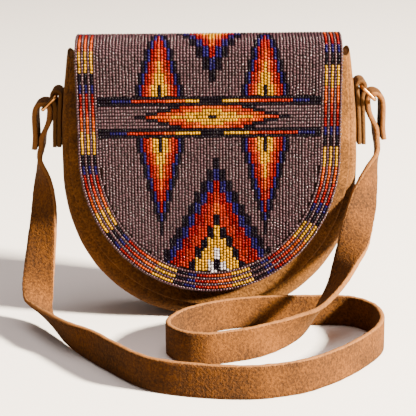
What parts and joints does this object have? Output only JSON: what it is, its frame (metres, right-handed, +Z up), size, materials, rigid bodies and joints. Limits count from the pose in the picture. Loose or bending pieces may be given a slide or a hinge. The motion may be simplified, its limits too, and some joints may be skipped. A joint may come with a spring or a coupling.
{
  "type": "beaded crossbody bag",
  "caption": "Saddle-shaped suede crossbody bag with a hinged U-shaped flap covered in stepped beadwork, two ring tabs and a flat shoulder strap.",
  "frame": {"origin": "middle of the flat base, on the floor", "axes": "+X to the viewer's right across the front, +Y to the back, +Z up towards the mouth"},
  "size_m": [0.2439, 0.1927, 0.1906],
  "materials": {
    "suede": "napped suede, tan",
    "strap_suede": "napped suede, tan, paler cut edges",
    "antique_brass": "antiqued, worn bright on the outside",
    "snap_steel": "plated",
    "grey_beads": "lustred seed beads",
    "fire_beads": "opaque seed beads, yellow through orange to red",
    "blue_beads": "opaque seed beads",
    "black_beads": "opaque seed beads"
  },
  "bodies": {
    "bag": {"front_panel": "suede", "back_panel": "suede", "gusset": "suede", "flap_yoke": "suede", "left_tab": "suede", "right_tab": "suede", "snap_socket": "snap_steel", "strap": "strap_suede"},
    "flap": {"flap_leather": "suede", "snap_stud": "snap_steel", "upper_left_fire": "fire_beads", "upper_left_blue": "blue_beads", "upper_left_black": "black_beads", "upper_right_fire": "fire_beads", "upper_right_blue": "blue_beads", "upper_right_black": "black_beads", "lower_left_fire": "fire_beads", "lower_left_blue": "blue_beads", "lower_left_black": "black_beads", "lower_right_fire": "fire_beads", "lower_right_blue": "blue_beads", "lower_right_black": "black_beads", "triangle_fire": "fire_beads", "triangle_blue": "blue_beads", "triangle_black": "black_beads", "pyramid_fire": "fire_beads", "pyramid_blue": "blue_beads", "pyramid_black": "black_beads", "field_top": "grey_beads", "field_bottom": "grey_beads", "bar_upper": "fire_beads", "bar_lower": "fire_beads", "diamond_fire": "fire_beads", "diamond_left": "black_beads", "diamond_right": "black_beads", "band_left": "grey_beads", "band_right": "grey_beads", "border_1": "grey_beads", "border_2": "fire_beads", "border_3": "grey_beads", "border_4": "fire_beads", "border_5": "grey_beads", "border_6": "fire_beads", "border_7": "grey_beads"},
    "ring_left": {"left_ring": "antique_brass"},
    "ring_right": {"right_ring": "antique_brass"}
  },
  "joints": [
    {"name": "flap_fold", "type": "hinge", "parent": "bag", "child": "flap", "pos_m": [0, 0.02129, 0.172], "axis": [-1, 0, 0], "range_deg": [0, 150]},
    {"name": "left_ring_swing", "type": "hinge", "parent": "bag", "child": "ring_left", "pos_m": [-0.1009, 0, 0.1518], "axis": [0, -1, 0], "range_deg": [0, 6]},
    {"name": "right_ring_swing", "type": "hinge", "parent": "bag", "child": "ring_right", "pos_m": [0.10044, 0, 0.1565], "axis": [0, 1, 0], "range_deg": [0, 6]}
  ]
}
